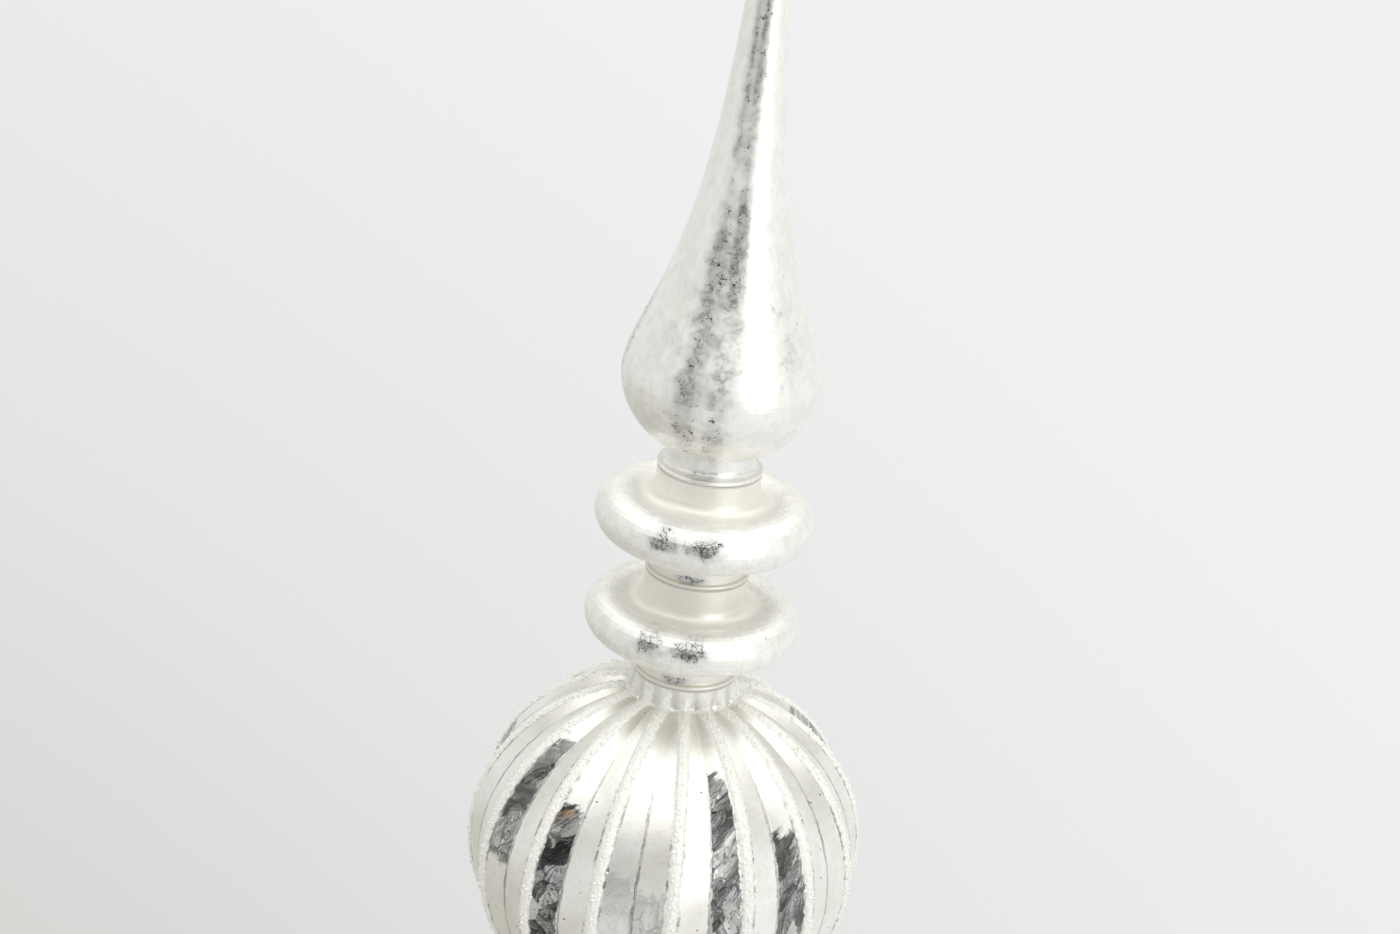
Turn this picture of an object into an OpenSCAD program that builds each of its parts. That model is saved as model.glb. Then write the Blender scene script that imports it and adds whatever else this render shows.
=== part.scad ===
// Icicle hanging ornament of silvered blown glass: a ribbed ball, two ring
// beads and a long spike with a drop-shaped root, cemented end to end below a
// crown cap and a wire hanger. Millimetres, +Z up, the spike points down.
// Origin: the inside top of the hanger's loop, where a hook carries it.

/* [Hanger] */
// Diameter of the spring wire
wire_d = 1.0; // [0.8:0.05:1.2]
// Radius of the loop at the wire's centre line
loop_r = 4.5; // [4:0.1:7]
// Radius of every smaller bend in the wire
bend_r = 1.5; // [1.2:0.1:1.8]
// Distance between the two shanks at their centre lines
shank_span = 4.0; // [3:0.1:5]
// How far the loop can be pushed down towards the cap
push_travel = 3.0; // [1:0.1:6]
// Slope of the legs where they spread out, from upright, in degrees
spread_angle = 55; // [40:1:70]
// Straight length of each leg inside the neck
leg_l = 12; // [6:0.5:18]

/* [Crown cap] */
// Thickness of the cap's sheet metal
sheet_t = 0.5; // [0.3:0.05:0.8]
// Height of the cap from its top to its scalloped edge
cap_h = 9; // [6:0.5:12]
// Width of the flared edge, outwards
cap_flare = 2.2; // [1:0.1:3]
// Number of flutes and of scallops between them
scallops = 16; // [8:1:24]
// Radius of the half-round flutes on the skirt
flute_r = 0.45; // [0.3:0.05:0.7]
// Radius of the cut between two scallops
scallop_r = 1.3; // [0.8:0.1:2]

/* [Glass] */
// Thickness of the blown wall
wall = 1.0; // [0.7:0.1:1.4]
// Outside radius of the bare neck under the cap
cap_neck_r = 8.0; // [7:0.1:10]
// Length of that neck above the ball
cap_neck_h = 8.0; // [6:0.5:14]

/* [Ribbed ball] */
// Diameter of the ball from valley to valley
ball_d = 76.8; // [60:0.2:110]
// Height of the ball, pole to pole
ball_h = 72; // [56:0.2:100]
// Number of pleats, each with one ridge
ribs = 16; // [10:1:20]
// Height of a ridge above the valleys, before its bead
rib_h = 1.3; // [0.6:0.1:2.5]
// Width of the bead that runs along each ridge
bead_w = 2.4; // [1.6:0.1:2.8]
// Height of that bead above the pleat's flanks
bead_h = 0.4; // [0.2:0.05:0.8]
// Distance from the axis at which the ridges end near the cap
rib_end_r = 12.0; // [11.8:0.1:14]
// Length of the rounding at both ends of a ridge
rib_round_l = 2.2; // [1:0.1:2.6]
// Height of the ball's collar below its lowest latitude
ball_collar_h = 2.9; // [1.6:0.1:5]
// Distance from the collar's rim to where the ridges end on it
rib_rim_gap = 0.5; // [0.2:0.1:1.5]
// Radius of the coves where the ball meets its neck and its collar
root_r = 1.6; // [0.8:0.1:1.6]

/* [Ring beads] */
// Radius of the lower ring's centre circle
lower_ring_r = 16.4; // [15:0.1:22]
// Radius of the lower ring's round section
lower_tube_r = 5.0; // [4:0.1:6]
// Radius of the upper ring's centre circle
upper_ring_r = 16.8; // [15:0.1:22]
// Radius of the upper ring's round section
upper_tube_r = 4.5; // [4:0.1:6]
// Distance from a ring's middle up to its lip
ring_neck_h = 10.8; // [10:0.1:14]
// Distance from a ring's middle down to the rim of its collar
ring_collar_h = 9.8; // [8:0.1:13]
// Radius of the fillets between a ring and its necks
valley_r = 2.4; // [1.8:0.1:3]

/* [Necks and lips] */
// Outside radius of the collars that receive a lip
collar_r = 10.2; // [9.6:0.1:10.8]
// Outside radius of the rings' necks
ring_neck_r = 9.6; // [9:0.1:9.8]
// Outside radius of the neck on the spike
spike_neck_r = 8.5; // [8:0.1:9.4]
// Outside radius of the flared lips
lip_r = 10.4; // [10.4:0.1:11.6]
// Thickness of a lip at its rounded edge
lip_t = 0.9; // [0.6:0.1:1.2]
// Length of the spigot beyond each lip
spigot_l = 4.5; // [3:0.1:6]

/* [Cement] */
// Thickness of the cement seam between a lip and a collar
seam_t = 0.4; // [0.2:0.05:0.8]
// Thickness of the cement around a spigot
cement_t = 0.6; // [0.4:0.05:0.8]
// Depth of the cement inside a collar
cement_h = 2.2; // [1:0.1:3]

/* [Drop and spike] */
// Largest radius of the drop
drop_r = 19.2; // [14:0.1:28]
// Distance from the lip to where the neck meets the drop
drop_neck_h = 3.4; // [3:0.1:8]
// Distance from there to the drop's widest place
drop_rise = 14.6; // [11:0.1:22]
// Length from the widest place to the spike's tip
taper_l = 162; // [100:1:240]
// Length over which the drop draws in to the spike
draw_l = 25; // [15:0.5:40]
// Radius that the spike's straight taper starts from
spike_r = 4.5; // [4:0.1:7]
// Radius of the rounded tip
tip_r = 1.3; // [0.9:0.1:2]

/* [Clearances] */
// Gap around each shank in its hole in the cap
hole_gap = 0.25; // [0.15:0.05:0.4]
// Gap between the cap's skirt and the neck
skirt_gap = 0.3; // [0.2:0.05:0.6]
// Gap between the cap and the rim of the neck
rim_gap = 0.2; // [0.1:0.05:0.4]
// Gap between the legs and the neck's bore
leg_gap = 0.3; // [0.2:0.05:0.6]
// Gap between the wire's spread and the cap above it
spread_gap = 0.3; // [0.2:0.05:0.6]
// Gap on each side of the cement
cement_gap = 0.05; // [0.03:0.01:0.1]

/* [Hidden] */
$fn = 96;

// Loop: its centre, and the reverse bend that leads into each shank
loop_z = wire_d / 2 - loop_r;
shank_x = shank_span / 2;
bend_drop = sqrt(pow(loop_r + bend_r, 2) - pow(shank_x + bend_r, 2));
loop_open = atan2(shank_x + bend_r, bend_drop);
shank_top = loop_z - bend_drop;

// Cap and neck rim, stacked below the shanks' free length
shank_free = push_travel + 1;
cap_top = shank_top - shank_free;
neck_rim = cap_top - sheet_t - rim_gap;
bore_r = cap_neck_r - wall;
skirt_r = cap_neck_r + skirt_gap;

// Spread of the legs from the shanks out to the bore
spread_top = cap_top - sheet_t - spread_gap;
leg_x = bore_r - leg_gap - wire_d / 2;
spread_run = (leg_x - shank_x - 2 * bend_r * (1 - cos(spread_angle))) / sin(spread_angle);
leg_top = spread_top - 2 * bend_r * sin(spread_angle) - spread_run * cos(spread_angle);

// Ball, from its neck down to the collar that takes the upper ring's lip
ball_a = ball_d / 2;
ball_b = ball_h / 2;
ball_z = neck_rim - cap_neck_h - ball_b;
ball_collar_z = ball_z - ball_b - ball_collar_h;

// Rings and spike, each hung below the seam above it
joint_h = seam_t + lip_t;
upper_ring_z = ball_collar_z - joint_h - ring_neck_h;
upper_collar_z = upper_ring_z - ring_collar_h;
lower_ring_z = upper_collar_z - joint_h - ring_neck_h;
lower_collar_z = lower_ring_z - ring_collar_h;
spike_lip_z = lower_collar_z - joint_h;

// Sockets and spigots
socket_r = collar_r - wall;
spigot_r = socket_r - cement_t - 2 * cement_gap;

// Drop: a half ellipse above its widest place, and the start of the draw below,
// which gives both the same curvature there
drop_neck_a = acos(spike_neck_r / drop_r);
drop_half_h = drop_rise / sin(drop_neck_a);
draw_start = pow(drop_half_h, 2) / drop_r * (drop_r - spike_r) / draw_l;

// Sampling of the curves
ball_rows = 38;
taper_steps = 34;
crown_steps = 9;
arc_step = 12;
wire_sides = 12;

// Points along an arc in the profile plane, from angle a0 to a1
function arc(centre, r, a0, a1) =
    let (n = max(2, ceil(abs(a1 - a0) / arc_step)))
    [for (i = [0:n]) let (a = a0 + (a1 - a0) * i / n) centre + r * [cos(a), sin(a)]];

// Profile that runs upwards, moved inwards by t square to itself
function inset(points, t) =
    let (last = len(points) - 1)
    [for (i = [0:last])
        let (along = points[min(i + 1, last)] - points[max(i - 1, 0)])
        points[i] + t * [-along[1], along[0]] / norm(along)];

function reverse(points) = [for (i = [len(points) - 1:-1:0]) points[i]];

// Lip and spigot on top of a neck, then down the throat, which stays inside both, from
// z = 0 at the lip's underside
function lip_outline(neck_r) =
    let (edge_r = lip_r - lip_t / 2, flare = edge_r - neck_r,
         throat_r = min(spigot_r, neck_r) - wall)
    concat(arc([edge_r, -flare], flare, 180, 90),
           arc([edge_r, lip_t / 2], lip_t / 2, -90, 90),
           [[spigot_r, lip_t], [spigot_r, lip_t + spigot_l],
            [throat_r, lip_t + spigot_l], [throat_r, 0]]);

// Height of the centre of the fillet that blends a neck into a ring
function fillet_z(ring_r, tube_r, neck_r) =
    sqrt(pow(tube_r + valley_r, 2) - pow(ring_r - neck_r - valley_r, 2));

// Outside of a ring bead from its collar's rim up its neck, from z = 0 at its middle
function ring_outline(ring_r, tube_r) =
    let (collar_z = fillet_z(ring_r, tube_r, collar_r),
         neck_z = fillet_z(ring_r, tube_r, ring_neck_r),
         collar_a = atan2(collar_z, ring_r - collar_r - valley_r),
         neck_a = atan2(neck_z, ring_r - ring_neck_r - valley_r))
    concat([[collar_r, -ring_collar_h]],
           arc([collar_r + valley_r, -collar_z], valley_r, 180, collar_a),
           arc([ring_r, 0], tube_r, collar_a - 180, 180 - neck_a),
           arc([ring_neck_r + valley_r, neck_z], valley_r, -neck_a, -180));

// Radius of the drop and spike at a distance u below the drop's widest place
function taper_radius(u) =
    spike_r + (tip_r - spike_r) * u / taper_l
    + (drop_r - spike_r) * exp((draw_start - norm([u, draw_start])) / draw_l);

// Outside of the drop and spike from u below its widest place up to its neck
function drop_outline(u_end) =
    let (widest = -drop_neck_h - drop_rise)
    concat([for (i = [taper_steps:-1:1]) let (u = u_end * pow(i / taper_steps, 1.5))
               [taper_radius(u), widest - u]],
           [for (i = [0:crown_steps]) let (a = drop_neck_a * i / crown_steps)
               [drop_r * cos(a), widest + drop_half_h * sin(a)]]);

// Meridian of the ball's valleys, from its middle, as [r, z, normal's r, normal's z]:
// up the collar, round its cove, then over the ball to the neck
function meridian() =
    let (low_t = -acos((collar_r + root_r) / ball_a),
         high_t = acos((cap_neck_r - wall / 2) / ball_a),
         mid_t = (low_t + high_t) / 2,
         half_t = (high_t - low_t) / 2,
         cove_z = ball_b * sin(low_t) - root_r,
         rim_z = -ball_b - ball_collar_h)
    concat([for (i = [0:4]) [collar_r, rim_z + (cove_z - rim_z) * i / 5, 1, 0]],
           [for (a = [180:-15:105])
               [collar_r + root_r * (1 + cos(a)), cove_z + root_r * sin(a), -cos(a), -sin(a)]],
           [for (i = [0:ball_rows])
               let (t = mid_t + half_t * sin(180 * i / ball_rows - 90),
                    out = [cos(t) / ball_a, sin(t) / ball_b])
               [ball_a * cos(t), ball_b * sin(t), out[0] / norm(out), out[1] / norm(out)]]);

// Point over a meridian point, turned about the axis and raised by h
function skin_point(m, turn, h) =
    let (r = m[0] + h * m[2])
    [r * cos(turn), r * sin(turn), m[1] + h * m[3]];

// Share of its full height that a ridge has over a meridian point
function rib_fade(m) =
    let (left = m[1] < 0 ? m[1] + ball_b + ball_collar_h - rib_rim_gap : m[0] - rib_end_r)
    sqrt(max(0, min(1, left / rib_round_l)));

module revolve(points) {
    rotate_extrude()
        polygon(points);
}

// Round wire along a path of [x, z] points in the XZ plane
module wire(path) {
    last = len(path) - 1;
    points = [for (i = [0:last])
              let (along = path[min(i + 1, last)] - path[max(i - 1, 0)],
                   side = [-along[1], along[0]] / norm(along))
              for (j = [0:wire_sides - 1])
                  let (a = 360 * j / wire_sides, out = path[i] + wire_d / 2 * cos(a) * side)
                  [out[0], wire_d / 2 * sin(a), out[1]]];
    sides = [for (i = [0:last - 1]) for (j = [0:wire_sides - 1])
             let (a = i * wire_sides + j, b = i * wire_sides + (j + 1) % wire_sides)
             each [[a, b, a + wire_sides], [b, b + wire_sides, a + wire_sides]]];
    ends = [[for (j = [wire_sides - 1:-1:0]) j],
            [for (j = [0:wire_sides - 1]) last * wire_sides + j]];
    polyhedron(points, concat(sides, ends));
}

// One side of the hanger below its loop: reverse bend, shank, spread and leg
function hanger_side() =
    concat(arc([shank_x + bend_r, shank_top], bend_r, 90 + loop_open, 180),
           arc([shank_x + bend_r, spread_top], bend_r, 180, 180 + spread_angle),
           arc([leg_x - bend_r, leg_top], bend_r, spread_angle, 0),
           [[leg_x, leg_top - leg_l]]);

module hanger_wire() {
    loop = arc([0, loop_z], loop_r, 270 - loop_open, loop_open - 90);
    inner_loop = [for (i = [1:len(loop) - 2]) loop[i]];
    other_side = [for (p = reverse(hanger_side())) [-p[0], p[1]]];
    color("silver")
        wire(concat(other_side, inner_loop, hanger_side()));
}

module crown_cap() {
    plate_z = cap_top - sheet_t;
    edge_z = cap_top - cap_h;
    flare_z = edge_z + cap_flare * 0.7;
    shoulder_r = wall / 2 + rim_gap;
    shoulder = [skirt_r - shoulder_r, plate_z - shoulder_r];
    edge_r = skirt_r + cap_flare + sheet_t;
    color("gainsboro")
        difference() {
            union() {
                revolve(concat([[0, plate_z]],
                               arc(shoulder, shoulder_r, 90, 0),
                               [[skirt_r, flare_z], [skirt_r + cap_flare, edge_z],
                                [edge_r, edge_z + sheet_t / 2], [skirt_r + sheet_t, flare_z + sheet_t / 2]],
                               arc(shoulder, shoulder_r + sheet_t, 0, 90),
                               [[0, cap_top]]));
                for (i = [0:scallops - 1])
                    rotate([0, 0, 360 * i / scallops])
                        translate([skirt_r + sheet_t, 0, flare_z])
                            cylinder(r = flute_r, h = shoulder[1] - flare_z, $fn = 24);
            }
            for (side = [-1, 1])
                translate([side * shank_x, 0, plate_z - 1])
                    cylinder(d = wire_d + 2 * hole_gap, h = sheet_t + 2);
            for (i = [0:scallops - 1])
                rotate([0, 0, 360 * (i + 0.5) / scallops])
                    translate([edge_r + scallop_r * 0.35, 0, edge_z - 1])
                        cylinder(r = scallop_r, h = cap_flare + 1, $fn = 32);
        }
}

// Pleated outer skin of the ball and its collar, closed by a flat disc at each end. Each
// flank is flat from its valley to the foot of the bead, and the bead keeps its width.
module pleated_skin() {
    rows = meridian();
    last = len(rows) - 1;
    bead = [[-1, 0], [-0.6, 0.8], [0, 1], [0.6, 0.8], [1, 0]];
    n = (len(bead) + 1) * ribs;
    points = [for (m = rows)
              let (fade = rib_fade(m),
                   foot = min(0.4, bead_w * ribs / (4 * PI * m[0])),
                   pleat_h = rib_h * sqrt(m[0] / ball_a))
              for (rib = [0:ribs - 1])
              each concat([skin_point(m, 360 * rib / ribs, 0)],
                          [for (b = bead)
                              let (u = 0.5 + foot * b[0],
                                   h = pleat_h * (1 - abs(2 * u - 1)) + bead_h * b[1])
                              skin_point(m, 360 * (rib + u) / ribs, h * fade)])];
    sides = [for (i = [0:last - 1]) for (j = [0:n - 1])
             let (a = i * n + j, b = i * n + (j + 1) % n)
             each [[a, a + n, b], [b, a + n, b + n]]];
    discs = [[for (j = [0:n - 1]) j], [for (j = [n - 1:-1:0]) last * n + j]];
    polyhedron(points, concat(sides, discs));
}

module ball_glass() {
    collar_z = -ball_b - ball_collar_h;
    rim_z = ball_b + cap_neck_h;
    neck_root = ball_b * sin(acos((cap_neck_r + root_r) / ball_a));
    socket_t = acos(socket_r / (ball_a - wall));
    bore_t = acos(bore_r / (ball_a - wall));
    color("whitesmoke")
        translate([0, 0, ball_z])
            difference() {
                union() {
                    pleated_skin();
                    revolve(concat([[0, neck_root - wall / 2], [cap_neck_r + root_r, neck_root - wall / 2]],
                                   arc([cap_neck_r + root_r, neck_root + root_r], root_r, -90, -180),
                                   arc([cap_neck_r - wall / 2, rim_z - wall / 2], wall / 2, 0, 90),
                                   [[0, rim_z]]));
                }
                revolve(concat([[0, collar_z - 1], [socket_r, collar_z - 1]],
                               [for (i = [0:40]) let (t = -socket_t + (socket_t + bore_t) * i / 40)
                                   [(ball_a - wall) * cos(t), (ball_b - wall) * sin(t)]],
                               [[bore_r, rim_z - wall / 2]],
                               [[bore_r, rim_z + 1], [0, rim_z + 1]]));
            }
}

// Blown ring bead with a collar below and a lipped neck above
module ring_glass(z, ring_r, tube_r) {
    outline = ring_outline(ring_r, tube_r);
    color("whitesmoke")
        translate([0, 0, z])
            revolve(concat(outline,
                           [for (p = lip_outline(ring_neck_r)) [p[0], p[1] + ring_neck_h]],
                           reverse(inset(outline, wall))));
}

module upper_ring_glass() {
    ring_glass(upper_ring_z, upper_ring_r, upper_tube_r);
}

module lower_ring_glass() {
    ring_glass(lower_ring_z, lower_ring_r, lower_tube_r);
}

module spike_glass() {
    hollow_l = taper_l * 0.8;
    tip_z = -drop_neck_h - drop_rise - taper_l;
    color("whitesmoke")
        translate([0, 0, spike_lip_z])
            revolve(concat(arc([0, tip_z], tip_r, -90, -arc_step),
                           drop_outline(taper_l),
                           lip_outline(spike_neck_r),
                           reverse(inset(drop_outline(hollow_l), wall)),
                           [[0, -drop_neck_h - drop_rise - hollow_l - wall]]));
}

// Cement between a collar and the lip below it: a seam and a sleeve round the spigot
module cement(z) {
    inner_r = spigot_r + cement_gap;
    color("dimgray")
        revolve([[inner_r, z - seam_t], [collar_r, z - seam_t], [collar_r, z],
                 [socket_r - cement_gap, z], [socket_r - cement_gap, z + cement_h],
                 [inner_r, z + cement_h]]);
}

module cement_upper() {
    cement(ball_collar_z);
}

module cement_middle() {
    cement(upper_collar_z);
}

module cement_lower() {
    cement(lower_collar_z);
}

hanger_wire();
crown_cap();
ball_glass();
cement_upper();
upper_ring_glass();
cement_middle();
lower_ring_glass();
cement_lower();
spike_glass();
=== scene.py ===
"""Looks of the icicle hanging ornament: aged silvered glass, frosted ribs, studio light.

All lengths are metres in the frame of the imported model: +Z up, origin at the hanger's
loop, the spike pointing down. The camera looks from the spike's side, upside down, so
that the spike points to the top of the picture.
"""

import math
import random
from types import SimpleNamespace

import bmesh
import bpy
from mathutils import Matrix, Vector
from mathutils.bvhtree import BVHTree


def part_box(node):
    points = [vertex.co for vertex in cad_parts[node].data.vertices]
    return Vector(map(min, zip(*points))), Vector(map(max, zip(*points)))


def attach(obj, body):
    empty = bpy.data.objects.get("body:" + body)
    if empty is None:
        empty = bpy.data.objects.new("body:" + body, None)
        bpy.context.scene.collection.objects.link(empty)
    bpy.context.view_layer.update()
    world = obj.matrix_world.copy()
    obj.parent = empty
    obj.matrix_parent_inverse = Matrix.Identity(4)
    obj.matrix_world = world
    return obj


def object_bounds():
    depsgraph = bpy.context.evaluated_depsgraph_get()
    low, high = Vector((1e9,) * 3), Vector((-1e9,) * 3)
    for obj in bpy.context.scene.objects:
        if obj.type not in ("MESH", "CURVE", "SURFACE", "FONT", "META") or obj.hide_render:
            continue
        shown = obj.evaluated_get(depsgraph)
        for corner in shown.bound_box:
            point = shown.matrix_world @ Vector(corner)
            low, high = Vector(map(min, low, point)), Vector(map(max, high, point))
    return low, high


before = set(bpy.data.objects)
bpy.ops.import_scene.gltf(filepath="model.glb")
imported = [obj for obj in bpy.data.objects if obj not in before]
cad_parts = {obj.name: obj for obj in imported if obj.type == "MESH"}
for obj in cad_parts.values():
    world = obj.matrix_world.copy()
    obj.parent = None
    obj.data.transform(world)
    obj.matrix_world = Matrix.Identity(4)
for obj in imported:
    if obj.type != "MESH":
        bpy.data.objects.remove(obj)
cad_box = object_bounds()

MM = 0.001

# ---------------------------------------------------------------- places
RIBS = 16
FLANKS = 2 * RIBS
BALL_LOW, BALL_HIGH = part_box("ball_glass")
BALL_MIDDLE = Vector((0, 0, (BALL_LOW[2] + BALL_HIGH[2]) / 2))
BALL_RADIUS = 39 * MM

# A ring section's bead and lip, measured up from the section's lower end
BEAD_UP = 9.8 * MM
LIP_ABOVE_BEAD = 10.0 * MM
UPPER_RING_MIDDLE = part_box("upper_ring_glass")[0][2] + BEAD_UP
RING_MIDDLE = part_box("lower_ring_glass")[0][2] + BEAD_UP

# The spike section's upper end, its lip, and the widest place of its drop
SPIKE_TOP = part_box("spike_glass")[1][2]
SPIKE_LIP = SPIKE_TOP - 5.8 * MM
DROP_WIDEST = SPIKE_TOP - 23.4 * MM

# View of the photograph: degrees round from -Y, degrees up, and the camera's own turn
VIEW_AZIMUTH = -6.6
VIEW_ELEVATION = -22.62
VIEW_ROLL = 7.02
VIEW_DISTANCE = 541.75 * MM
AIM_BELOW_RING = 9.74 * MM
AIM_LEFT = 1.92 * MM
LENS_MM = 72
SENSOR_MM = 36

# Azimuth, in degrees from +X, of the side that faces the camera
FRONT = VIEW_AZIMUTH - 90


# ---------------------------------------------------------------- node helpers
class Nodes:
    """A small builder for one material's node tree."""

    def __init__(self, name):
        self.material = bpy.data.materials.new(name)
        self.material.use_nodes = True
        self.tree = self.material.node_tree
        self.tree.nodes.clear()
        self.output = self.add("ShaderNodeOutputMaterial")

    def add(self, kind, **settings):
        node = self.tree.nodes.new(kind)
        for key, value in settings.items():
            setattr(node, key, value)
        return node

    def put(self, value, socket):
        """Sets a socket to a number or colour, or links it to another node's socket."""
        if isinstance(value, bpy.types.NodeSocket):
            self.tree.links.new(value, socket)
        else:
            socket.default_value = value

    def place(self):
        """A point's place in the frame of the model."""
        return self.add("ShaderNodeTexCoord").outputs["Object"]

    def split(self, vector):
        node = self.add("ShaderNodeSeparateXYZ")
        self.put(vector, node.inputs[0])
        return node.outputs

    def split_colour(self, colour):
        node = self.add("ShaderNodeSeparateColor")
        self.put(colour, node.inputs[0])
        return node.outputs

    def join(self, x, y, z):
        node = self.add("ShaderNodeCombineXYZ")
        for value, socket in zip((x, y, z), node.inputs):
            self.put(value, socket)
        return node.outputs[0]

    def math(self, operation, a, b=0.0, c=0.0):
        node = self.add("ShaderNodeMath", operation=operation)
        for value, socket in zip((a, b, c), node.inputs):
            self.put(value, socket)
        return node.outputs[0]

    def plus(self, a, b):
        return self.math("ADD", a, b)

    def minus(self, a, b):
        return self.math("SUBTRACT", a, b)

    def over(self, a, b):
        return self.math("DIVIDE", a, b)

    def times(self, first, *others):
        for other in others:
            first = self.math("MULTIPLY", first, other)
        return first

    def larger(self, a, b):
        return self.math("MAXIMUM", a, b)

    def absolute(self, value):
        return self.math("ABSOLUTE", value)

    def hypot(self, a, b):
        return self.math("SQRT", self.plus(self.times(a, a), self.times(b, b)))

    def vector(self, operation, a, b):
        node = self.add("ShaderNodeVectorMath", operation=operation)
        self.put(a, node.inputs[0])
        self.put(b, node.inputs[1])
        return node.outputs["Vector"]

    def mix(self, share, a, b):
        """Colour a, turning into colour b as share goes from 0 to 1."""
        node = self.add("ShaderNodeMix", data_type="RGBA")
        self.put(share, node.inputs[0])
        self.put(a, node.inputs[6])
        self.put(b, node.inputs[7])
        return node.outputs[2]

    def blend(self, share, a, b):
        """Number a, turning into number b as share goes from 0 to 1."""
        node = self.add("ShaderNodeMix", data_type="FLOAT")
        self.put(share, node.inputs[0])
        self.put(a, node.inputs[2])
        self.put(b, node.inputs[3])
        return node.outputs[0]

    def noise(self, place, scale, detail, rough, distortion=0.0, out="Fac"):
        """Noise between 0 and 1 with about scale waves to the metre."""
        node = self.add("ShaderNodeTexNoise")
        self.put(place, node.inputs["Vector"])
        node.inputs["Scale"].default_value = scale
        node.inputs["Detail"].default_value = detail
        node.inputs["Roughness"].default_value = rough
        node.inputs["Distortion"].default_value = distortion
        return node.outputs[out]

    def centred(self, noise, width):
        """Noise as an offset to either side, width from end to end."""
        return self.times(self.minus(noise, 0.5), width)

    def cells(self, place, scale, **settings):
        """Outputs of a pattern of about scale cells to the metre."""
        node = self.add("ShaderNodeTexVoronoi", **settings)
        self.put(place, node.inputs["Vector"])
        node.inputs["Scale"].default_value = scale
        return node.outputs

    def step(self, value, low, high):
        """0 below low, 1 above high, smooth between."""
        node = self.add("ShaderNodeMapRange", interpolation_type="SMOOTHSTEP")
        self.put(value, node.inputs[0])
        self.put(low, node.inputs[1])
        self.put(high, node.inputs[2])
        return node.outputs[0]

    def fade(self, value, low, high):
        """1 below low, 0 above high, smooth between."""
        return self.minus(1.0, self.step(value, low, high))

    def bump(self, height, distance, strength):
        node = self.add("ShaderNodeBump")
        node.inputs["Strength"].default_value = strength
        node.inputs["Distance"].default_value = distance
        self.put(height, node.inputs["Height"])
        return node.outputs[0]

    def surface(self, **sockets):
        shader = self.add("ShaderNodeBsdfPrincipled")
        for key, value in sockets.items():
            self.put(value, shader.inputs[key.replace("_", " ")])
        self.tree.links.new(shader.outputs[0], self.output.inputs["Surface"])
        return self.material


def rgb(r, g, b):
    return (r, g, b, 1.0)


# ---------------------------------------------------------------- colours
PEARL = rgb(0.935, 0.93, 0.895)
CREAM = rgb(0.86, 0.85, 0.79)
VEIL = rgb(0.80, 0.795, 0.755)
# Painted shade in the dish of a ring bead
DISH_SHADE = rgb(0.86, 0.845, 0.775)
SILVER = rgb(0.93, 0.925, 0.895)
SHADOW_SILVER = rgb(0.30, 0.295, 0.29)
# Grey of tarnish specks, and of the painted dark reflection in worn zones
TARNISH_AND_REFLECTION_GREY = rgb(0.50, 0.495, 0.485)
BLACK_SPOT = rgb(0.025, 0.023, 0.022)
FLECK = rgb(0.04, 0.038, 0.038)
COPPER = rgb(0.60, 0.42, 0.30)
# Painted shade in the ball's valleys by its collar
COLLAR_SHADE_OLIVE = rgb(0.46, 0.455, 0.385)
FROST = rgb(0.90, 0.905, 0.875)
CEMENT_DARK = rgb(0.46, 0.45, 0.42)
CEMENT_LIGHT = rgb(0.68, 0.66, 0.62)
FLOOR_PALE = rgb(0.87, 0.87, 0.86)
FLAG_GREY = rgb(0.30, 0.30, 0.30)

# Crystals from dark to pale, the dark end standing for painted reflection of dark surroundings:
# place on the scale, then tone
ICE_AND_REFLECTION_GREYS = [
    (0.10, rgb(0.03, 0.029, 0.03)),
    (0.26, rgb(0.11, 0.1089, 0.1078)),
    (0.44, rgb(0.28, 0.2772, 0.2744)),
    (0.62, rgb(0.50, 0.495, 0.49)),
    (1.0, rgb(0.88, 0.875, 0.85)),
]


def fill_ramp(elements, stops):
    """Puts (position, colour) stops, from low to high, on a colour ramp that is new."""
    ends = stops[0], stops[-1]
    for element, (position, colour) in zip(elements, ends):
        element.position = position
        element.color = colour
    for position, colour in stops[1:-1]:
        elements.new(position).color = colour


# ---------------------------------------------------------------- aged silvering
def cracks(n, place, scale, width, amount):
    """Short bent hairlines: cell edges kept only where a coarser noise is high."""
    bend = n.noise(place, scale * 1.5, 3, 0.65, out="Color")
    bent = n.vector("ADD", place, n.vector("MULTIPLY", bend, (0.9 / scale,) * 3))
    edge = n.cells(bent, scale, feature="DISTANCE_TO_EDGE")["Distance"]
    line = n.fade(edge, width * 0.4, width)
    kept = n.step(n.noise(place, scale * 0.6, 3, 0.6), amount, amount + 0.05)
    return n.times(line, kept)


def reflection_and_wear_spot(n, around, radius, z, mottle, zone):
    """1 in the middle of a zone, 0 outside it, with a ragged edge that follows mottle."""
    azimuth, half_width, height, half_height, least_radius = zone
    turn = n.math("WRAP", n.minus(around, math.radians(azimuth)), math.pi, -math.pi)
    across = n.over(turn, math.radians(half_width))
    along = n.over(n.minus(z, height), half_height)
    away = n.plus(n.hypot(across, along), n.centred(mottle, 2.2))
    spot = n.fade(away, 0.35, 1.25)
    if least_radius:
        spot = n.times(spot, n.step(radius, least_radius, least_radius + 2 * MM))
    return spot


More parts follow.
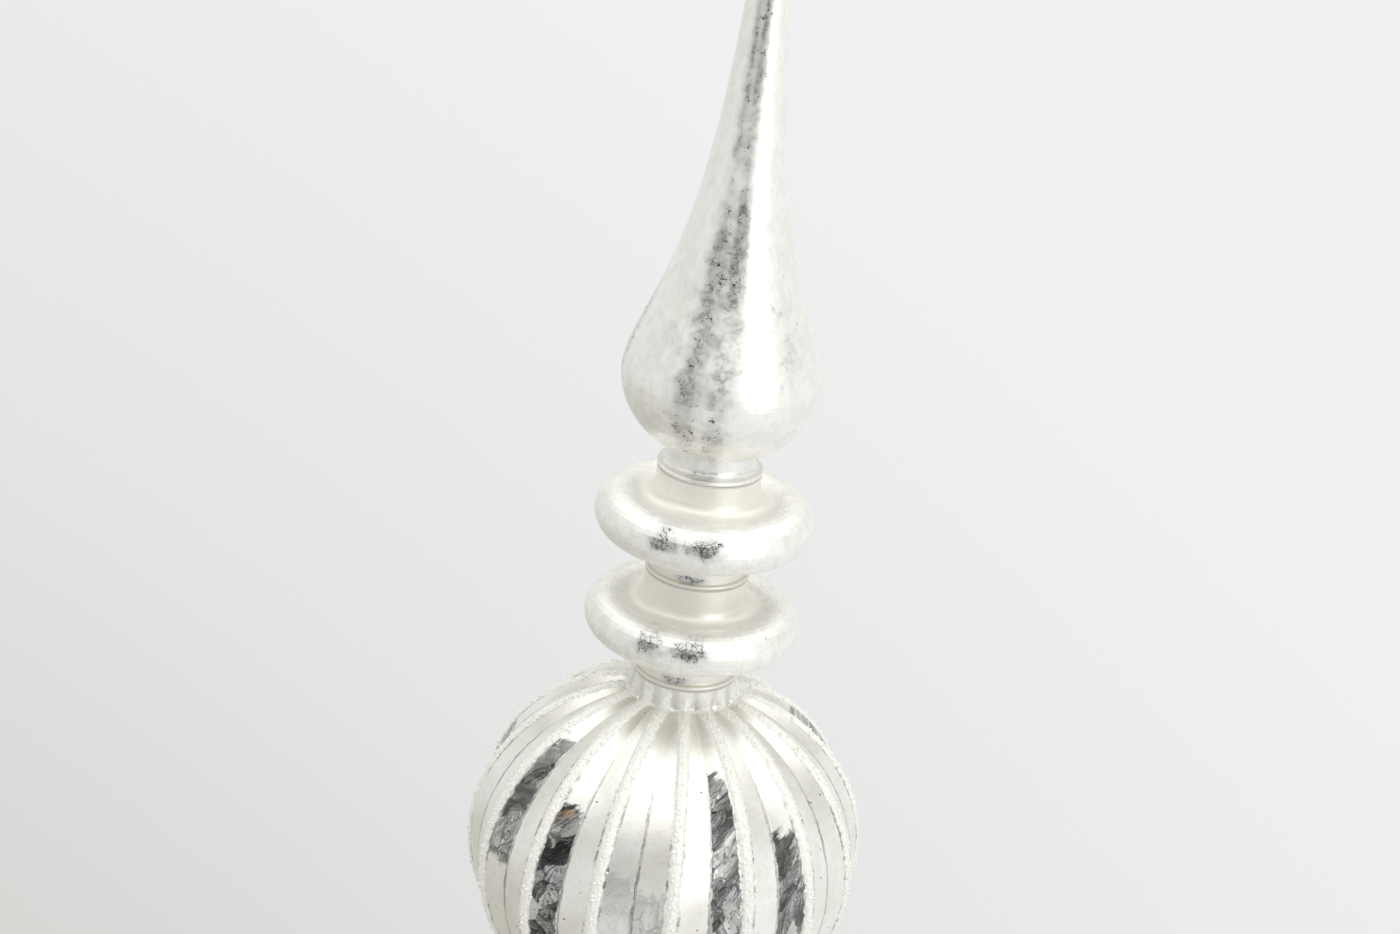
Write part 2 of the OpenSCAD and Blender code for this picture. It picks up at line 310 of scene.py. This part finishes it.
def antique_silver(name, cloudiness, softness, crazing, tarnish_and_reflection, dish_shade, zones):
    """Aged silvering: satin with clearer flakes; in zones a worn, cracked mirror with a painted
    dark reflection.

    cloudiness is the level above which the glass is satin, softness the satin's roughness,
    crazing the level above which the worn zones crack, tarnish_and_reflection their darkness,
    which is partly painted reflection of dark surroundings, and dish_shade the share of dull
    warm painted shade inside a bead. A zone is its azimuth and half width in degrees,
    then its height, half height and least radius in metres.
    """
    n = Nodes(name)
    place = n.place()
    x, y, z = n.split(place)
    around = n.math("ARCTAN2", y, x)
    radius = n.hypot(x, y)
    mottle = n.noise(place, 330, 6, 0.68, 0.3)
    cloud = n.noise(n.vector("MULTIPLY", place, (1.0, 1.0, 0.7)), 120, 5, 0.6, 0.4)
    mixed = n.plus(n.times(mottle, 0.65), n.times(cloud, 0.35))
    painted_dark_and_wear = 0.0
    for zone in zones:
        painted_dark_and_wear = n.larger(painted_dark_and_wear, reflection_and_wear_spot(n, around, radius, z, mottle, zone))
    flakes = n.step(n.noise(place, 560, 5, 0.68, 0.5), 0.38, 0.62)
    satin = n.step(mixed, cloudiness - 0.09, cloudiness + 0.07)
    satin = n.blend(painted_dark_and_wear, satin, n.times(flakes, 0.62))

    drawn = n.vector("MULTIPLY", place, (1.0, 1.0, 0.6))
    veil = n.step(n.noise(drawn, 480, 5, 0.70, 0.8), 0.38, 0.60)
    tone = n.mix(satin, SILVER, n.mix(n.blend(veil, 0.60, 0.0), PEARL, VEIL))
    # Painted shade in the dish inside a bead, round its neck
    inside = n.fade(radius, 11.5 * MM, 15.0 * MM)
    tone = n.mix(n.times(inside, dish_shade), tone, DISH_SHADE)
    # Painted reflection of dark surroundings over tarnish: the zones turn towards a dark grey
    tone = n.mix(n.times(painted_dark_and_wear, n.blend(satin, tarnish_and_reflection, tarnish_and_reflection * 0.4)), tone, TARNISH_AND_REFLECTION_GREY)
    crack = n.times(cracks(n, place, 900, 0.06, crazing), n.step(painted_dark_and_wear, 0.45, 0.85))
    pit = n.step(n.plus(n.noise(place, 800, 3, 0.6), n.times(painted_dark_and_wear, 0.06)), 0.735, 0.765)
    tone = n.mix(n.larger(crack, pit), tone, BLACK_SPOT)

    grain = n.noise(place, 1300, 4, 0.7)
    speckle = n.times(n.step(grain, 0.35, 0.65), 0.06)
    relief = n.plus(n.times(mixed, 0.6), n.times(grain, 0.4))
    return n.surface(
        Base_Color=tone,
        Metallic=n.blend(satin, 1.0, 0.72),
        Roughness=n.plus(n.blend(satin, 0.22, softness), speckle),
        Normal=n.bump(relief, 0.10 * MM, 0.4),
    )


def ring_zones(middle, turned):
    """Two dark spots at the front of a ring bead and one on its lip, painted reflection of dark
    surroundings on worn silvering, and worn spots scattered round the rest.
    """
    outside = 15 * MM
    low = middle - 1.9 * MM
    front = [
        (FRONT + turned + 23, 9, low, 2.6 * MM, outside),
        (FRONT + turned, 12, low, 2.6 * MM, outside),
        (FRONT + turned + 10, 24, middle + LIP_ABOVE_BEAD, 0.9 * MM, 0),
    ]
    scattered = [
        (FRONT + turn, 9, middle + up * MM, 2.2 * MM, outside)
        for turn, up in ((110, 1), (165, -2), (-85, 2), (-130, -1))
    ]
    return front + scattered


# Dark streaks of the spike section: five at the front and one on the lip, painted reflection of
# dark surroundings on worn silvering, and three worn streaks behind
SPIKE_ZONES = [
    (FRONT + 19, 10, DROP_WIDEST + 1 * MM, 16 * MM, 0),
    (FRONT + 17, 15, DROP_WIDEST - 24 * MM, 18 * MM, 0),
    (FRONT - 2, 12, DROP_WIDEST - 29 * MM, 15 * MM, 0),
    (FRONT + 1, 10, DROP_WIDEST + 7 * MM, 7 * MM, 0),
    (FRONT + 9, 22, SPIKE_LIP, 1.2 * MM, 0),
    (FRONT + 6, 30, DROP_WIDEST - 76 * MM, 38 * MM, 0),
    (FRONT + 150, 20, DROP_WIDEST - 20 * MM, 34 * MM, 0),
    (FRONT - 120, 16, DROP_WIDEST - 34 * MM, 30 * MM, 0),
    (FRONT + 90, 14, DROP_WIDEST - 6 * MM, 16 * MM, 0),
]


# ---------------------------------------------------------------- ribbed ball
# Bare mirror panels, painted dark as a reflection of dark surroundings over crystals of bare
# silvering: flank number round the ball, then where the panel begins and ends
# as a share of the ball's height from its collar to its neck, and how dark it is.
BARE_REFLECTION_PANELS = {
    -4: (0.136, 0.43, 0.95), -6: (0.225, 0.79, 1.0), -8: (0.32, 0.74, 0.30),
    -9: (0.36, 0.70, 0.50), -11: (0.125, 0.80, 0.97), -13: (0.238, 0.86, 0.95),
    0: (0.25, 0.82, 0.8), 2: (0.14, 0.72, 0.9), 4: (0.28, 0.78, 0.5),
    6: (0.20, 0.85, 0.9), 9: (0.16, 0.79, 0.9), 11: (0.24, 0.74, 0.8), 13: (0.13, 0.83, 0.9),
}
NO_PANEL = (1, 1, 0)


def pleats(n):
    """Where a point of the ball lies: on which flank, how far up and how far across.

    flat is a map of the flanks, x running round the ball and y along the pleat.
    """
    place = n.place()
    x, y, z = n.split(place)
    pitches = n.times(n.math("ARCTAN2", y, x), RIBS / (2 * math.pi))
    flank = n.math("FLOOR", n.times(pitches, 2.0))
    arc = n.times(n.hypot(x, y), 2 * math.pi / RIBS)
    from_ridge = n.times(n.absolute(n.minus(n.math("FRACT", pitches), 0.5)), arc)
    return SimpleNamespace(
        place=place,
        flank=flank,
        arc=arc,
        from_ridge=from_ridge,
        from_valley=n.minus(n.times(arc, 0.5), from_ridge),
        up=n.over(n.minus(z, BALL_LOW[2]), BALL_HIGH[2] - BALL_LOW[2]),
        flat=n.join(n.times(pitches, arc), z, n.times(flank, 0.37)),
    )


def bare_reflection_panel(n, at):
    """Share of bare mirror painted with dark reflection, way past the panel's start, and the
    panel's darkness.
    """
    table = n.add("ShaderNodeValToRGB")
    table.color_ramp.interpolation = "CONSTANT"
    elements = table.color_ramp.elements
    while len(elements) < FLANKS:
        elements.new(0.5)
    for i, element in enumerate(elements):
        element.position = i / FLANKS
        element.color = (*BARE_REFLECTION_PANELS.get(i - RIBS, NO_PANEL), 1)
    n.put(n.over(n.plus(at.flank, RIBS + 0.5), FLANKS), table.inputs[0])
    start, end, darkness = n.split_colour(table.outputs[0])

    level = n.plus(at.up, n.centred(n.noise(at.flat, 300, 4, 0.65), 0.10))
    past_start = n.minus(level, start)
    began = n.step(past_start, -0.004, 0.012)
    not_over = n.step(n.minus(end, level), -0.004, 0.012)
    wobble = n.centred(n.noise(at.flat, 420, 3, 0.6), 1.4 * MM)
    off_ridge = n.step(n.plus(at.from_ridge, wobble), 1.45 * MM, 1.70 * MM)
    off_valley = n.step(n.plus(at.from_valley, wobble), 0.10 * MM, 0.30 * MM)
    return n.times(began, not_over, off_ridge, off_valley, darkness), past_start, darkness


def crystals_and_reflection(n, flat, past_start, darkness):
    """Tone and height of shards of differing grey, some with streaks fanning out; the darker
    greys are partly painted reflection.
    """
    shards_per_metre = 340
    bend = n.noise(flat, 600, 4, 0.65, out="Color")
    bent = n.vector("ADD", flat, n.vector("MULTIPLY", bend, (1.6 * MM, 1.6 * MM, 0)))
    skewed = n.vector("MULTIPLY", bent, (1.0, 0.72, 1.0))
    shard = n.cells(skewed, shards_per_metre, voronoi_dimensions="2D")
    own, turned, feathered = n.split_colour(shard["Color"])

    local_x, local_y, _ = n.split(n.vector("SUBTRACT", skewed, shard["Position"]))
    angle = n.math("ARCTAN2", n.plus(local_y, 1.2 * MM), local_x)
    fan = n.join(n.times(angle, 1.9), 0.0, n.times(turned, 40.0))
    blades = n.step(n.noise(fan, 2.6, 3, 0.6), 0.40, 0.62)
    blades = n.blend(n.step(feathered, 0.25, 0.45), 0.75, blades)
    patches = n.step(n.noise(flat, 190, 5, 0.66, 0.8), 0.34, 0.64)
    crystal = n.plus(n.times(own, 0.46), n.times(blades, 0.34))
    crystal = n.minus(n.plus(crystal, n.times(patches, 0.26)), 0.14)
    crystal = n.plus(crystal, n.times(n.step(past_start, 0.06, 0.32), 0.05))
    crystal = n.plus(crystal, n.times(n.fade(darkness, 0.60, 0.78), 0.30))

    ice_and_reflection_ramp = n.add("ShaderNodeValToRGB")
    fill_ramp(ice_and_reflection_ramp.color_ramp.elements, ICE_AND_REFLECTION_GREYS)
    n.put(crystal, ice_and_reflection_ramp.inputs[0])
    gap = n.cells(skewed, shards_per_metre, voronoi_dimensions="2D", feature="DISTANCE_TO_EDGE")
    outline = n.fade(gap["Distance"], 0.02, 0.10)
    outline = n.times(outline, n.step(n.noise(flat, 240, 2, 0.5), 0.45, 0.60))
    flecks = n.larger(outline, n.step(n.noise(flat, 900, 3, 0.6), 0.60, 0.66))
    tone = n.mix(n.times(flecks, 0.7), ice_and_reflection_ramp.outputs[0], FLECK)

    # Copper shows at the start of the darkest panels
    edge = n.times(n.fade(past_start, 0.02, 0.08), n.step(darkness, 0.975, 1.0))
    rust = n.step(n.noise(flat, 420, 3, 0.6), 0.53, 0.66)
    return n.mix(n.times(edge, rust, 0.75), tone, COPPER), crystal


def broken_folds(n, at):
    """Painted shade: dark broken lines in the valleys and beside the ridges, round the ball's
    middle.
    """
    by_middle = n.fade(n.absolute(n.minus(at.up, 0.50)), 0.24, 0.42)
    painted_dark_and_wear = n.step(n.noise(at.flat, 170, 5, 0.72), 0.44, 0.60)
    thick = n.times(n.noise(at.flat, 500, 4, 0.7), 1.1 * MM)
    from_fold = n.minus(at.from_valley, n.minus(thick, 0.30 * MM))
    in_valley = n.times(n.fade(from_fold, 0.0, 0.16 * MM), n.blend(painted_dark_and_wear, 0.45, 1.0))
    from_foot = n.absolute(n.minus(at.from_ridge, 1.40 * MM))
    from_foot = n.minus(from_foot, n.minus(thick, 0.36 * MM))
    by_ridge = n.times(n.fade(from_foot, 0.0, 0.12 * MM), painted_dark_and_wear)
    return n.times(n.larger(in_valley, by_ridge), by_middle, 0.9)


def ribbed_glass():
    """Pleated ball: frosted ridges, pearly flanks, bare crackled mirror panels painted dark as a
    reflection, and painted shade in its valleys.
    """
    n = Nodes("ribbed_glass")
    at = pleats(n)
    bare_and_reflection, past_start, darkness = bare_reflection_panel(n, at)
    icy_and_reflection, crystal = crystals_and_reflection(n, at.flat, past_start, darkness)

    # Pearly flanks with a faint cloudiness, and the bare panels in them
    cloud = n.noise(at.place, 110, 5, 0.6, 0.5)
    fine = n.noise(at.place, 900, 4, 0.7)
    pearl = n.mix(n.step(cloud, 0.35, 0.65), CREAM, PEARL)
    pearl = n.mix(n.times(n.step(fine, 0.50, 0.72), 0.22), pearl, TARNISH_AND_REFLECTION_GREY)
    # Bare panels painted dark: painted reflection of dark surroundings over crystals of bare
    # silvering
    tone = n.mix(bare_and_reflection, pearl, icy_and_reflection)

    # Painted shade in the valleys by the collar and along dark broken folds, and pits
    by_collar = n.fade(at.up, 0.03, 0.20)
    in_fold = n.step(n.over(at.from_ridge, at.arc), 0.16, 0.42)
    collar_valley_shade = n.times(by_collar, in_fold, n.blend(cloud, 0.35, 1.0))
    tone = n.mix(n.times(collar_valley_shade, 0.42), tone, COLLAR_SHADE_OLIVE)
    folds = broken_folds(n, at)
    tone = n.mix(folds, tone, SHADOW_SILVER)
    pit = n.step(n.noise(at.place, 620, 2, 0.5), 0.745, 0.765)
    tone = n.mix(pit, tone, BLACK_SPOT)

    # Frosted ridges
    sugar = n.cells(at.place, 1500)["Distance"]
    frost = n.fade(n.plus(at.from_ridge, n.centred(fine, 2.2 * MM)), 1.05 * MM, 1.35 * MM)
    tone = n.mix(frost, tone, n.mix(n.step(sugar, 0.25, 0.75), FROST, CREAM))

    grain = n.noise(at.place, 1500, 4, 0.7)
    relief = n.blend(frost, n.times(grain, 0.35), n.minus(grain, n.times(sugar, 1.6)))
    relief = n.minus(relief, n.times(folds, 0.6))
    relief = n.plus(relief, n.times(bare_and_reflection, crystal, 0.9))
    rough = n.blend(bare_and_reflection, n.blend(cloud, 0.26, 0.40), 0.24)
    return n.surface(
        Base_Color=tone,
        Metallic=n.blend(frost, n.blend(bare_and_reflection, 0.78, 0.92), 0.25),
        Roughness=n.blend(frost, rough, 0.55),
        Normal=n.bump(relief, 0.18 * MM, 0.6),
    )


# ---------------------------------------------------------------- plain materials
def frost_grit():
    """Clear-white sugar of fused glass grit."""
    n = Nodes("frost_grit")
    tone = n.mix(n.noise(n.place(), 1200, 2, 0.5), CREAM, FROST)
    return n.surface(Base_Color=tone, Roughness=0.38)


def plain_metal(name, colour, rough, wear_scale):
    """Metal whose polish wears off in places."""
    n = Nodes(name)
    wear = n.noise(n.place(), wear_scale, 5, 0.6)
    tone = n.mix(wear, rgb(*[c * 0.8 for c in colour]), rgb(*colour))
    return n.surface(
        Base_Color=tone,
        Metallic=1.0,
        Roughness=n.blend(wear, rough, rough + 0.15),
        Normal=n.bump(wear, 0.1 * MM, 0.4),
    )


def cement():
    n = Nodes("cement")
    grain = n.noise(n.place(), 2500, 4, 0.7)
    tone = n.mix(grain, CEMENT_DARK, CEMENT_LIGHT)
    return n.surface(Base_Color=tone, Roughness=0.85, Normal=n.bump(grain, 0.1 * MM, 0.8))


# ---------------------------------------------------------------- pieces
def dress(node, material):
    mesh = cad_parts[node].data
    mesh.materials.clear()
    mesh.materials.append(material)


def round_facets(node, degrees):
    """Shades a faceted node smooth, with creases only where faces meet at more than degrees."""
    tree = bpy.data.node_groups.new("round_facets_" + node, "GeometryNodeTree")
    tree.interface.new_socket("Geometry", in_out="INPUT", socket_type="NodeSocketGeometry")
    tree.interface.new_socket("Geometry", in_out="OUTPUT", socket_type="NodeSocketGeometry")
    start = tree.nodes.new("NodeGroupInput")
    weld = tree.nodes.new("GeometryNodeMergeByDistance")
    weld.inputs["Distance"].default_value = 0.001 * MM
    corner = tree.nodes.new("GeometryNodeInputMeshEdgeAngle")
    sharp = tree.nodes.new("FunctionNodeCompare")
    sharp.data_type = "FLOAT"
    sharp.operation = "GREATER_THAN"
    sharp.inputs[1].default_value = math.radians(degrees)
    normal = tree.nodes.new("GeometryNodeSetMeshNormal")
    normal.mode = "SHARPNESS"
    end = tree.nodes.new("NodeGroupOutput")
    link = tree.links.new
    link(start.outputs[0], weld.inputs["Geometry"])
    link(weld.outputs[0], normal.inputs["Mesh"])
    link(corner.outputs["Unsigned Angle"], sharp.inputs[0])
    link(sharp.outputs[0], normal.inputs["Edge Sharpness"])
    link(normal.outputs[0], end.inputs[0])
    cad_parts[node].modifiers.new("round_facets", "NODES").node_group = tree


def skin_of(node):
    """Search tree of a node's faces, in the frame of the model."""
    skin = bmesh.new()
    skin.from_mesh(node.data)
    skin.transform(node.matrix_world)
    tree = BVHTree.FromBMesh(skin)
    skin.free()
    return tree


def grain_shape():
    """Corners and faces of a round grain of radius 1."""
    ball = bmesh.new()
    bmesh.ops.create_icosphere(ball, subdivisions=1, radius=1.0)
    corners = [v.co.copy() for v in ball.verts]
    facets = [[v.index for v in f.verts] for f in ball.faces]
    ball.free()
    return corners, facets


GRIT_SEED = 11
GRAINS_PER_RIDGE = 150
# Lowest and highest grain, in degrees from the ball's middle
GRIT_TILTS = -72, 74
# Usual distance of a grain from its crest
GRIT_SPREAD = 0.62 * MM
# Smallest and largest radius of a grain, how far it is stretched, and its turn in radians
GRAIN_SIZES = 0.14 * MM, 0.36 * MM
GRAIN_STRETCH = 0.7, 1.3
GRAIN_TURNS = 0, 6.28
# Share of its radius by which a grain's middle stands off the glass
GRAIN_STANDS_OFF = 0.25


def ridge_frost():
    """Grains of grit stuck along the ridges of the ball, thickest on the crests."""
    rng = random.Random(GRIT_SEED)
    skin = skin_of(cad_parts["ball_glass"])
    corners, facets = grain_shape()
    reach = 60 * MM
    points, faces = [], []
    for ridge in range(RIBS):
        for _ in range(GRAINS_PER_RIDGE):
            tilt = math.radians(rng.uniform(*GRIT_TILTS))
            off_crest = rng.gauss(0, GRIT_SPREAD) / (BALL_RADIUS * math.cos(tilt))
            azimuth = (ridge + 0.5) * 2 * math.pi / RIBS + off_crest
            level = Vector((math.cos(azimuth), math.sin(azimuth), 0))
            way = level * math.cos(tilt) + Vector((0, 0, math.sin(tilt)))
            hit, normal, _, _ = skin.ray_cast(BALL_MIDDLE + way * reach, -way)
            size = rng.uniform(*GRAIN_SIZES)
            spin = Matrix.Rotation(rng.uniform(*GRAIN_TURNS), 3, way)
            stretch = Vector((rng.uniform(*GRAIN_STRETCH), rng.uniform(*GRAIN_STRETCH), 1.0))
            centre = hit + normal * size * GRAIN_STANDS_OFF
            faces += [[len(points) + i for i in facet] for facet in facets]
            points += [centre + spin @ (corner * stretch * size) for corner in corners]
    mesh = bpy.data.meshes.new("ridge_frost")
    mesh.from_pydata(points, [], faces)
    mesh.materials.append(frost_grit())
    mesh.shade_smooth()
    grit = bpy.data.objects.new("ridge_frost", mesh)
    bpy.context.scene.collection.objects.link(grit)
    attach(grit, "glass")


round_facets("ball_glass", 15)
round_facets("hanger_wire", 40)
dress("ball_glass", ribbed_glass())
for ring, middle, crazing, turned in (
    ("upper_ring", UPPER_RING_MIDDLE, 0.40, -1),
    ("lower_ring", RING_MIDDLE, 0.42, -3),
):
    ring_silver = antique_silver(
        ring + "_silver",
        cloudiness=0.38,
        softness=0.46,
        crazing=crazing,
        tarnish_and_reflection=1.0,
        dish_shade=0.75,
        zones=ring_zones(middle, turned),
    )
    dress(ring + "_glass", ring_silver)
spike_silver = antique_silver(
    "spike_silver",
    cloudiness=0.46,
    softness=0.40,
    crazing=0.56,
    tarnish_and_reflection=0.62,
    dish_shade=0.0,
    zones=SPIKE_ZONES,
)
dress("spike_glass", spike_silver)
ridge_frost()
SEAM = cement()
for seam in ("cement_upper", "cement_middle", "cement_lower"):
    dress(seam, SEAM)
dress("crown_cap", plain_metal("cap_metal", (0.80, 0.79, 0.75), rough=0.25, wear_scale=600))
dress("hanger_wire", plain_metal("hanger_wire", (0.78, 0.78, 0.77), rough=0.15, wear_scale=1500))


# ---------------------------------------------------------------- camera
def make_camera():
    """Adds the camera and returns its directions back and right, before its own turn."""
    a, e, r = (math.radians(v) for v in (VIEW_AZIMUTH, VIEW_ELEVATION, VIEW_ROLL))
    back = Vector((math.sin(a) * math.cos(e), -math.cos(a) * math.cos(e), math.sin(e)))
    right = Vector((-math.cos(a), -math.sin(a), 0))
    up = back.cross(right)
    aim = Vector((0, 0, RING_MIDDLE - AIM_BELOW_RING)) - right * AIM_LEFT
    rolled_right = right * math.cos(r) + up * math.sin(r)
    rolled_up = up * math.cos(r) - right * math.sin(r)
    turn = Matrix((rolled_right, rolled_up, back)).transposed().to_4x4()
    data = bpy.data.cameras.new("camera")
    data.lens = LENS_MM
    data.sensor_width = SENSOR_MM
    data.clip_start = 10 * MM
    camera = bpy.data.objects.new("camera", data)
    camera.matrix_world = Matrix.Translation(aim + back * VIEW_DISTANCE) @ turn
    bpy.context.scene.collection.objects.link(camera)
    bpy.context.scene.camera = camera
    return back, right


BACK, RIGHT = make_camera()
LEVEL_BACK = Vector((BACK.x, BACK.y, 0)).normalized()


# ---------------------------------------------------------------- stage
MIDDLE = Vector((0, 0, RING_MIDDLE))
FLOOR_RADIUS = 4.0
FLOOR_BELOW = 0.26
LAMP_DISTANCE = 0.9
BANK_BELOW = 0.40


def towards(azimuth, elevation):
    """Direction from the part in degrees: 0, 0 is level towards the camera.

    Azimuth turns towards the camera's right, elevation towards +Z.
    """
    a, e = math.radians(azimuth), math.radians(elevation)
    level = LEVEL_BACK * math.cos(a) + RIGHT * math.sin(a)
    return level * math.cos(e) + Vector((0, 0, math.sin(e)))


# Surround: cosine of the angle from its dim side, then the light that comes from there
DIM_SIDE = towards(-110, 60)
SURROUND = [
    (-1.0, (1.04, 1.04, 1.03)),
    (-0.30, (0.905, 0.905, 0.90)),
    (0.20, (0.868, 0.868, 0.866)),
    (0.38, (0.878, 0.878, 0.878)),
    (0.50, (0.83, 0.83, 0.828)),
    (0.60, (0.78, 0.78, 0.775)),
    (0.70, (0.69, 0.69, 0.675)),
    (0.85, (0.56, 0.55, 0.50)),
    (1.0, (0.50, 0.49, 0.43)),
]


def make_floor():
    bpy.ops.mesh.primitive_circle_add(vertices=96, radius=FLOOR_RADIUS, fill_type="NGON")
    floor = bpy.context.object
    floor.name = "floor"
    floor.location.z = cad_box[0][2] - FLOOR_BELOW
    n = Nodes("floor")
    floor.data.materials.append(n.surface(Base_Color=FLOOR_PALE, Roughness=0.9))


def make_world():
    """Soft surround: bright towards the lamps, dimmer and warmer away from them."""
    world = bpy.data.worlds.new("studio")
    world.use_nodes = True
    tree = world.node_tree
    way = tree.nodes.new("ShaderNodeTexCoord").outputs["Generated"]
    dot = tree.nodes.new("ShaderNodeVectorMath")
    dot.operation = "DOT_PRODUCT"
    dot.inputs[1].default_value = DIM_SIDE
    shift = tree.nodes.new("ShaderNodeMapRange")
    shift.inputs["From Min"].default_value = -1
    shift.inputs["From Max"].default_value = 1
    ramp = tree.nodes.new("ShaderNodeValToRGB")
    stops = [((cosine + 1) / 2, rgb(*level)) for cosine, level in SURROUND]
    fill_ramp(ramp.color_ramp.elements, stops)
    background = tree.nodes["Background"]
    background.inputs["Strength"].default_value = 1.0
    tree.links.new(way, dot.inputs[0])
    tree.links.new(dot.outputs["Value"], shift.inputs["Value"])
    tree.links.new(shift.outputs[0], ramp.inputs[0])
    tree.links.new(ramp.outputs[0], background.inputs["Color"])
    bpy.context.scene.world = world


def area_light(name, way, size, power, spread):
    """Rectangular lamp that stands at way from the part's middle and points at it."""
    data = bpy.data.lights.new(name, "AREA")
    data.shape = "RECTANGLE"
    data.size, data.size_y = size
    data.energy = power
    data.spread = math.radians(spread)
    light = bpy.data.objects.new(name, data)
    light.location = MIDDLE + way
    light.rotation_mode = "QUATERNION"
    light.rotation_quaternion = (-way).to_track_quat("-Z", "Y")
    light.visible_camera = False
    bpy.context.scene.collection.objects.link(light)


def card(name, azimuth, elevation, width, height):
    """Flat dark studio flag that only reflections see."""
    bpy.ops.mesh.primitive_plane_add(size=1)
    flag = bpy.context.object
    flag.name = name
    way = towards(azimuth, elevation)
    flag.location = MIDDLE + way * LAMP_DISTANCE
    flag.rotation_mode = "QUATERNION"
    flag.rotation_quaternion = way.to_track_quat("Z", "Y")
    flag.scale = (width, height, 1)
    n = Nodes(name)
    grey = n.surface(Base_Color=FLAG_GREY, Roughness=1.0, Specular_IOR_Level=0.0)
    flag.data.materials.append(grey)
    flag.visible_camera = False
    flag.visible_diffuse = False
    flag.visible_shadow = False


make_floor()
make_world()
area_light("key", towards(44, -12) * LAMP_DISTANCE, size=(0.20, 0.28), power=0.23, spread=70)
area_light("low_bank", Vector((0, 0, -BANK_BELOW)), size=(1.1, 1.1), power=3.5, spread=180)
card("flag_left", -39, -3, width=0.36, height=0.85)
card("flag_right", 3, -3, width=0.42, height=0.85)

bpy.context.scene.view_settings.view_transform = "Standard"
